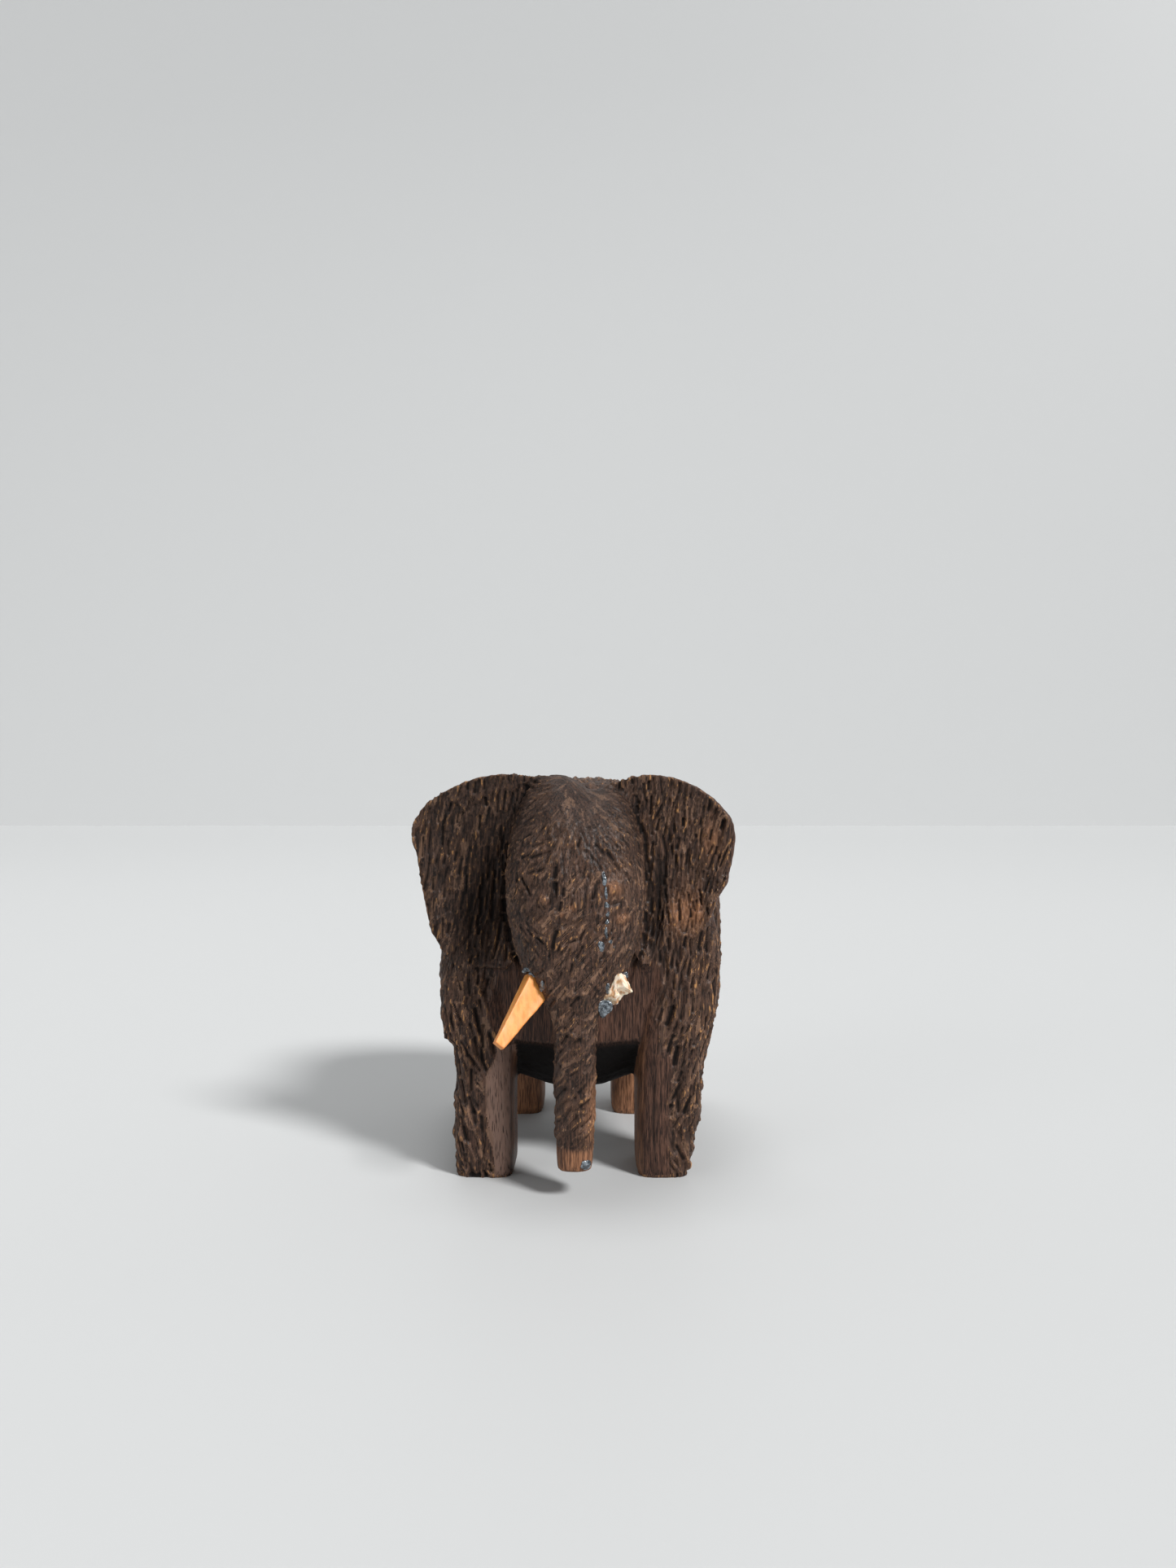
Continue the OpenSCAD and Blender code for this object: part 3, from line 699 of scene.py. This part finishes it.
def carve(mesh, links, surface, depth):
    """Moves each vertex by its cut and by the unevenness of the wood; gives the depth really cut."""
    co, normal, plain = surface.co, surface.normal, surface.plain()
    swell = 0.34 * layered(co, 6.5, 51, 2) * (1 - 0.75 * plain)
    fibre = 0.05 * layered(co, (0.7, 0.7, 3.2), 61, 2) * (1 - 0.6 * plain)
    ribs = 0.05 * noise(co, (0.55, 0.55, 14), 71) * plain
    eyes = bosses(surface)
    # The tail stands out between two grooves, down the middle of the rump.
    off = np.abs(surface.x - TAIL_X)
    rump = smoothstep(0.2, 0.5, normal[:, 1]) * smoothstep(27, 32, surface.z) * (surface.back > 50)
    tail = rump * (1 - smoothstep(1.4, 2.1, off))
    beside = rump * hill(off, 2.6, 1.0)
    depth = depth * (1 - 0.7 * tail) * (1 - 0.8 * np.clip(3 * np.abs(eyes), 0, 1)) * (1 - 0.85 * plain)
    depth = 1.08 * (0.72 * depth + 0.28 * neighbour_mean(links, depth[:, None])[:, 0])
    # The mean cut is made up for, so that the figure keeps its size.
    mean_cut = 0.26 * (1 - plain)
    lift = swell + fibre + ribs + eyes + 0.35 * tail - 0.6 * beside + mean_cut - depth
    new = co + normal * lift[:, None]
    new[:, 2] = np.where(co[:, 2] < SOLE, 0, np.maximum(new[:, 2], 0))
    write_mesh(mesh, new)
    return depth


def relief(mesh, links, surface, depth):
    """From 0 to 1, how far each vertex lies on a ridge and how far in a hollow."""
    co, normal = read_mesh(mesh)
    bulge = np.sum((co - neighbour_mean(links, co)) * normal, 1)[:, None]
    for _ in range(2):
        bulge = neighbour_mean(links, bulge)
    bulge = bulge[:, 0]
    # Painted shade: the hollow value darkens the cuts and small hollows, more on the face and trunk.
    hollow = np.clip(-bulge / 0.03, 0, 1) * 0.8 + np.clip(depth / 0.85, 0, 1) ** 2 * 0.35
    hollow = hollow * (1 + 0.3 * (surface.face | surface.trunk))
    return np.clip(bulge / 0.028, 0, 1), np.clip(hollow, 0, 1)


# Dark spots of painted shade, with pooled stain in places: the recesses around the eyes and brows, the
# grooves beside the head, the right ear and the left leg's chamfer edge. x, z, half width, half height
# (mm) and strength.
SHADE_POOLS = (
    (-3.6, 53.8, 1.0, 2.4, 0.9),
    (-7.2, 54.4, 1.7, 0.8, 0.75),
    (-3.2, 47.0, 0.8, 3.0, 0.7),
    (-7.2, 49.6, 2.2, 0.9, 0.75),
    (-8.8, 52.0, 0.7, 1.6, 0.6),
    (-8.0, 44.8, 2.6, 1.0, 0.6),
    (-7.0, 59.4, 3.0, 0.7, 0.5),
    (-0.8, 47.8, 1.4, 0.6, 0.4),
    (5.6, 59.4, 2.0, 1.4, 0.4),
    (-16.0, 50.0, 3.6, 13.0, 0.6),
    (-20.5, 47.0, 2.6, 7.0, 0.4),
    (15.2, 51.0, 1.9, 8.5, 0.85),
    (24.2, 49.0, 0.5, 2.6, 0.85),
    (-23.0, 55.0, 8.0, 15.0, 0.3),
    (14.4, 12.0, 0.35, 14.0, 0.8),
)


def shade_and_stain(mesh, surface, front):
    """Where the wood is painted darkest, from 0 to 1: painted shade in wide hollows, on the upper head,
    the ears and the belly, with pooled stain in places.
    """
    deep = 0.75 * read_attribute(mesh, "sunk")
    # Painted shade darkens the upper head.
    deep = np.maximum(deep, 0.4 * surface.face * smoothstep(54, 66, surface.z))
    # Painted shade on the ears, the right one most, as it faces away from the key light, with a patchy
    # darkening over all the carved wood.
    ears = np.where(surface.x < 0, 0.3, 0.1) * surface.ear * smoothstep(36, 43, surface.z)
    patchy = 0.8 + 0.5 * noise(surface.co, (6, 6, 9), 36)
    deep = np.maximum(deep, (0.12 + ears) * patchy * (1 - surface.plain()))
    for x, z, half_width, half_height, strength in SHADE_POOLS:
        pool = np.clip(strength * spot(surface.co, x, z, half_width, half_height) * front, 0, 1)
        deep = 1 - (1 - deep) * (1 - pool)
    # Painted shade under the belly.
    return np.maximum(deep, surface.underside())


# Pale patches: stain rubbed off the eyes, the bosses below them and the left ear, and painted highlights
# in the rows marked below. x, z, half width, half height (mm) and strength.
WORN_AND_LIT = (
    (6.56, 54.0, 1.3, 1.3, 0.7),
    (8.4, 48.7, 1.2, 1.0, 0.8),
    # Painted highlights on the ring around the middle boss, this row and the next.
    (-0.4, 50.7, 0.6, 0.5, 0.9),
    (-2.3, 49.5, 0.4, 0.4, 0.8),
    (-5.45, 52.0, 0.9, 0.9, 0.35),
    (19.4, 48.4, 2.4, 3.4, 1.0),
    (22.4, 48.0, 1.4, 3.0, 0.9),
    # Painted highlight on the left ear near its outer edge.
    (25.0, 62.0, 1.4, 3.4, 0.6),
    # Painted highlight along the right leg's inner front edge.
    (-11.1, 11.0, 0.45, 14.0, 0.5),
)


def bare_and_highlit(surface, front):
    """Where the wood is painted pale, from 0 to 1: stain rubbed off or never put on, and a few painted
    highlights.
    """
    x, z, normal = surface.x, surface.z, surface.normal
    rubbed_and_lit = sum(
        strength * spot(surface.co, x0, z0, half_width, half_height)
        for x0, z0, half_width, half_height, strength in WORN_AND_LIT
    )
    tip_edge = z + 0.4 * noise(surface.co, 3, 33)
    tip = surface.trunk * (1 - smoothstep(TRUNK_LOW + 3.2, TRUNK_LOW + 4.6, tip_edge))
    flank = surface.trunk * smoothstep(1.0, 3.2, x) * hill(z, 15, 9)
    inner = surface.front_leg * (x > 0) * smoothstep(0.45, 0.8, -normal[:, 0])
    rear = surface.rear_leg * surface.plain()
    return np.maximum.reduce([rubbed_and_lit * (front > 0), 0.7 * tip, 0.64 * flank, 0.5 * inner, 0.9 * rear])


def carved_body(material):
    """One block of wood, remeshed from the CAD solid and cut all over with a chisel."""
    rng = np.random.default_rng(SEED)
    mesh = base_block()
    links = mesh_links(mesh)
    surface = Surface(*read_mesh(mesh))
    depth, tone = make_cuts(surface, rng)
    depth = carve(mesh, links, surface, depth)
    ridge, hollow = relief(mesh, links, surface, depth)
    speckled = 0.8 + 0.4 * noise(surface.co, (1.2, 1.2, 4), 35)
    front = (surface.back < 6) * smoothstep(0.1, 0.4, -surface.normal[:, 1]) * speckled
    plain = surface.plain()
    flat_tone = 0.3 + 0.7 * surface.strip() * (surface.x < 0)
    for name, values in (
        ("tone", np.where(plain > 0.5, flat_tone, tone)),
        ("ridge", ridge),
        ("hollow", hollow),
        ("plain", plain),
        ("bare_and_lit", bare_and_highlit(surface, front)),
        ("deep", shade_and_stain(mesh, surface, front)),
    ):
        add_attribute(mesh, name, values)
    return new_object("body_wood", mesh, material, "dark_wood", "carved_body")


# ---- Tusks and glue ----


def tusk(material):
    """The whole tusk: the CAD blade with its edges eased and its flats slightly uneven."""
    mesh = with_modifiers(
        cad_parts["right_tusk"].data.copy(),
        ("WELD", {"merge_threshold": 0.01 * MM}),
        ("BEVEL", {
            "width": 0.22 * MM,
            "segments": 2,
            "limit_method": "ANGLE",
            "angle_limit": math.radians(40),
        }),
        ("REMESH", {"mode": "VOXEL", "voxel_size": 0.12 * MM}),
        ("SMOOTH", {"factor": 0.5, "iterations": 3}),
    )
    co, normal = read_mesh(mesh)
    low, high = co.min(0), co.max(0)
    co = co + normal * (0.09 * layered(co, (1.6, 1.6, 3.0), 81, 2))[:, None]
    write_mesh(mesh, co)
    links = mesh_links(mesh)
    around = neighbour_mean(links, neighbour_mean(links, co))
    edge = np.clip(np.sum((co - around) * normal, 1) / 0.02, 0, 1)
    add_attribute(mesh, "edge", edge)
    add_attribute(mesh, "along", (high[2] - co[:, 2]) / (high[2] - low[2]))
    return new_object("tusk_blade", mesh, material, "tusk_wood", "right_tusk")


def stub(material):
    """The broken tusk: splintered fibres that stand out of the break."""
    mesh = with_modifiers(
        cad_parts["left_tusk_stub"].data.copy(),
        ("REMESH", {"mode": "VOXEL", "voxel_size": 0.11 * MM}),
        ("SMOOTH", {"factor": 0.5, "iterations": 4}),
    )
    co, normal = read_mesh(mesh)
    fibre = layered(co, (0.5, 0.5, 0.9), 91, 3)
    co = co + normal * (0.16 * fibre)[:, None]
    write_mesh(mesh, co)
    add_attribute(mesh, "fibre", np.clip(0.6 + 0.8 * fibre, 0, 1))
    return new_object("stub_wood", mesh, material, "broken_tusk_wood", "left_tusk_stub")


# Each smear of glue: its middle, x and z, its half width and height, and its thickness, mm.
RUN_SMEARS = (
    (5.1, 55.6, 0.42, 1.1, 0.2),
    (5.4, 53.2, 0.26, 1.0, 0.2),
    (5.5, 51.2, 0.4, 0.5, 0.24),
    (5.7, 49.6, 0.3, 0.5, 0.24),
    (5.6, 48.3, 0.36, 0.4, 0.2),
    (5.4, 46.5, 0.3, 0.9, 0.2),
    (4.6, 44.2, 0.6, 0.8, 0.22),
    (6.2, 44.9, 0.3, 0.4, 0.16),
)
RIGHT_SMEARS = (
    (-8.5, 39.6, 0.7, 0.45, 0.25),
    (-7.5, 38.8, 0.6, 0.5, 0.3),
    (-5.6, 37.1, 0.5, 0.9, 0.2),
    (-9.2, 37.5, 0.4, 0.7, 0.2),
)
LEFT_SMEARS = ((5.2, 33.2, 1.1, 1.7, 0.5), (8.9, 38.4, 0.6, 0.5, 0.3), (5.7, 36.7, 0.4, 0.9, 0.2))


def smear(form, body, rng, x, z, half_width, half_height, thick):
    """Adds a lens of glue to a bmesh, laid on the carved surface as seen from the front; all in mm."""
    steps = 22
    overhang = 1.0 * MM  # how far it follows the wood back from its foremost point
    forward = Vector((0, 1, 0))
    wobble = rng.uniform(0, 2 * math.pi, 3)
    landed = {}
    for i in range(steps + 1):
        for j in range(steps + 1):
            u, v = 2 * i / steps - 1, 2 * j / steps - 1
            turn = math.atan2(v, u)
            reach = 1 + 0.16 * math.sin(2 * turn + wobble[0]) + 0.12 * math.sin(3 * turn + wobble[1])
            # The square grid is drawn in to a rounded outline.
            pull = max(abs(u), abs(v)) / max(math.hypot(u, v), 1e-6) * reach
            side, up = x + half_width * u * pull, z + half_height * v * pull
            start = Vector((side, body_low[1] - 10, up)) * MM
            hit, place, facing, _ = body.ray_cast(start, forward)
            if hit:
                landed[i, j] = u, v, place, facing
    limit = min(place.y for _, _, place, _ in landed.values()) + overhang
    low, high = {}, {}
    for key, (u, v, place, facing) in landed.items():
        if place.y > limit:
            place.y, facing = limit, -forward
        rise = max(0.0, 1 - max(abs(u), abs(v)) ** 2) ** 0.6
        lump = 0.75 + 0.25 * math.sin(5 * u + wobble[1]) * math.sin(4 * v + wobble[2])
        high[key] = form.verts.new(place + facing * (thick * rise * lump) * MM)
        low[key] = form.verts.new(place - facing * 0.15 * MM)
    for i in range(steps):
        for j in range(steps):
            ring = ((i, j), (i + 1, j), (i + 1, j + 1), (i, j + 1))
            if all(key in high for key in ring):
                form.faces.new([high[key] for key in ring])
                form.faces.new([low[key] for key in reversed(ring)])
    # Both sheets are joined around their edge.
    edges = [edge for edge in form.edges if len(edge.link_faces) == 1]
    bmesh.ops.bridge_loops(form, edges=edges)


def drop(node, seed):
    """A bead of glue: the CAD solid, softened and made slightly lumpy."""
    mesh = with_modifiers(
        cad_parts[node].data.copy(),
        ("REMESH", {"mode": "VOXEL", "voxel_size": 0.09 * MM}),
        ("SMOOTH", {"factor": 0.5, "iterations": 6}),
    )
    co, normal = read_mesh(mesh)
    write_mesh(mesh, co + normal * (0.1 * layered(co, 0.8, seed, 2))[:, None])
    return mesh


def smears(body, seed, rows):
    """A mesh of separate smears on the carved wood, one for each row."""
    rng = np.random.default_rng(seed)
    form = bmesh.new()
    for row in rows:
        smear(form, body, rng, *row)
    mesh = bpy.data.meshes.new("smears")
    form.to_mesh(mesh)
    form.free()
    return mesh


# ---- Stage, lights and camera ----


def plain_sheet(name, corners, material):
    mesh = bpy.data.meshes.new(name)
    mesh.from_pydata(corners, [], [range(len(corners))])
    mesh.materials.append(material)
    sheet = bpy.data.objects.new(name, mesh)
    bpy.context.scene.collection.objects.link(sheet)


def stage():
    """A pale floor and a pale wall well behind the elephant."""
    paint = floor_paint()
    side, front, wall, top = 5.0, -4.0, 1.8, 3.0
    left, right = (-side, wall, 0), (side, wall, 0)
    plain_sheet("floor", [(-side, front, 0), (side, front, 0), right, left], paint)
    plain_sheet("wall", [left, right, (side, wall, top), (-side, wall, top)], paint)


def lamp(name, kind, place, target, size, power):
    light = bpy.data.lights.new(name, kind)
    light.energy = power
    if kind == "SUN":
        light.angle = size
    else:
        light.shape, light.size = "DISK", size
    lamp_object = bpy.data.objects.new(name, light)
    lamp_object.location = place
    lamp_object.rotation_euler = (Vector(target) - Vector(place)).to_track_quat("-Z", "Y").to_euler()
    bpy.context.scene.collection.objects.link(lamp_object)


def lights():
    world = bpy.data.worlds.new("studio")
    bpy.context.scene.world = world
    world.use_nodes = True
    background = world.node_tree.nodes["Background"]
    background.inputs["Color"].default_value = colour(224, 227, 229)
    background.inputs["Strength"].default_value = 0.33
    target = (0, 0, 0.04)
    lamp("key", "SUN", (0.75, -0.75, 0.95), target, math.radians(13), 3.6)
    lamp("fill", "AREA", (-1.1, -0.9, 0.5), target, 0.8, 3.0)
    lamp("top", "AREA", (-0.1, 0.2, 1.5), target, 0.6, 6)


def camera():
    data = bpy.data.cameras.new("camera")
    data.lens, data.sensor_width, data.sensor_fit = LENS, 36.0, "AUTO"
    data.clip_start, data.clip_end = 0.01, 20.0
    view = bpy.data.objects.new("camera", data)
    view.location = Vector((CAMERA_RIGHT, LEG_FRONT - CAMERA_BACK, CAMERA_HEIGHT)) * MM
    view.rotation_euler = (math.radians(90), 0, 0)
    bpy.context.scene.collection.objects.link(view)
    bpy.context.scene.camera = view


bpy.context.scene.view_settings.view_transform = "Standard"
camera()
stage()
lights()
body = carved_body(dark_wood())
tusk(tusk_wood())
stub(broken_wood())
clear = dried_glue()
bpy.context.view_layer.update()
for name, node, mesh in (
    ("right_glue", "right_tusk_glue", smears(body, 101, RIGHT_SMEARS)),
    ("left_glue", "left_tusk_glue", smears(body, 111, LEFT_SMEARS)),
    ("face_glue", "face_glue_run", smears(body, 121, RUN_SMEARS)),
    ("tip_glue", "trunk_tip_glue", drop("trunk_tip_glue", 131)),
):
    new_object(name, mesh, clear, "dried_glue", node)
